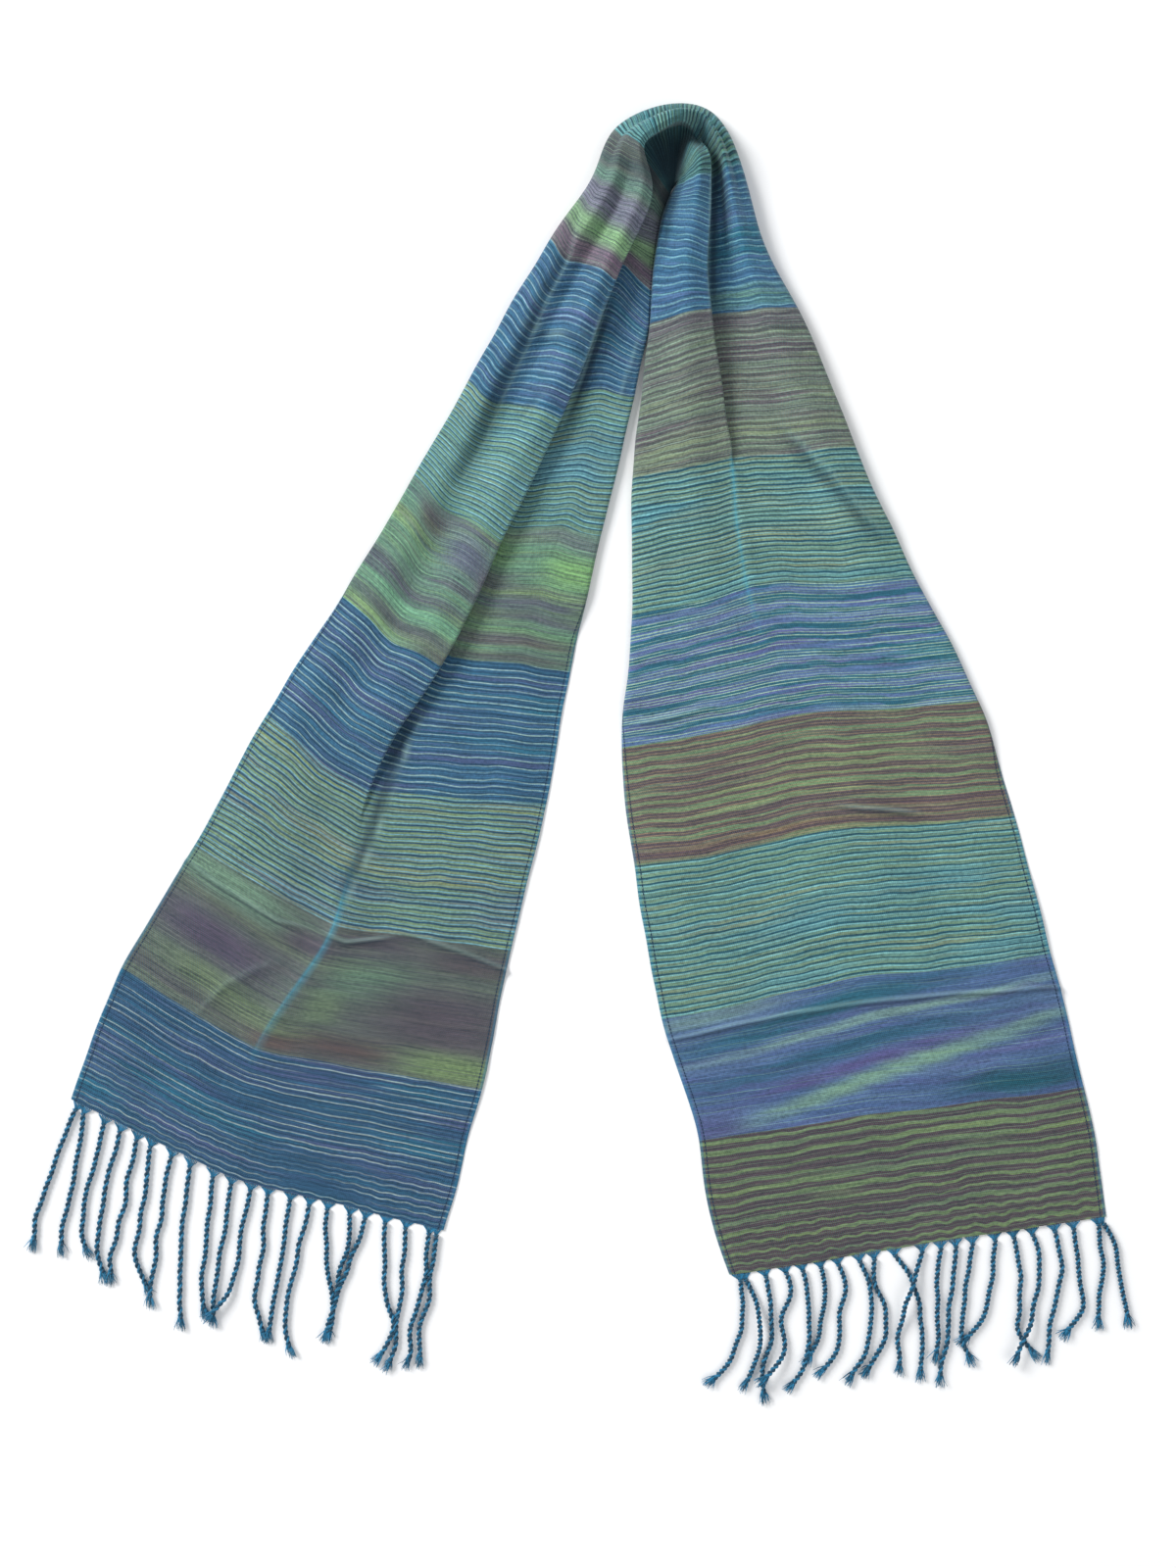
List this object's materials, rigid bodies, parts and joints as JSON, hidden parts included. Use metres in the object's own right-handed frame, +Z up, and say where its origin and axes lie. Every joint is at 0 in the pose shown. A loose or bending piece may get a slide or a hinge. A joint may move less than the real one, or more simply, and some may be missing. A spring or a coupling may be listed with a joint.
{
  "type": "fringed scarf",
  "caption": "Long woven scarf with cross stripes and twisted fringe, gathered in the middle and laid flat in a bend with both tails spread.",
  "frame": {"origin": "centre of the scarf's bounding box, on the surface that it lies on", "axes": "+Z up off the surface, +Y from the fringed tails to the gathered bend, +X to the right seen from above with the bend at the top"},
  "size_m": [0.8388, 0.9893, 0.0362],
  "materials": {
    "cloth": "matt plain weave, blue and green cross stripes",
    "fringe": "twisted turquoise yarn"
  },
  "bodies": {
    "root": {"left_leg_cloth": "cloth", "crown_cloth": "cloth", "right_leg_cloth": "cloth", "left_fringe": "fringe", "right_fringe": "fringe"}
  },
  "joints": []
}
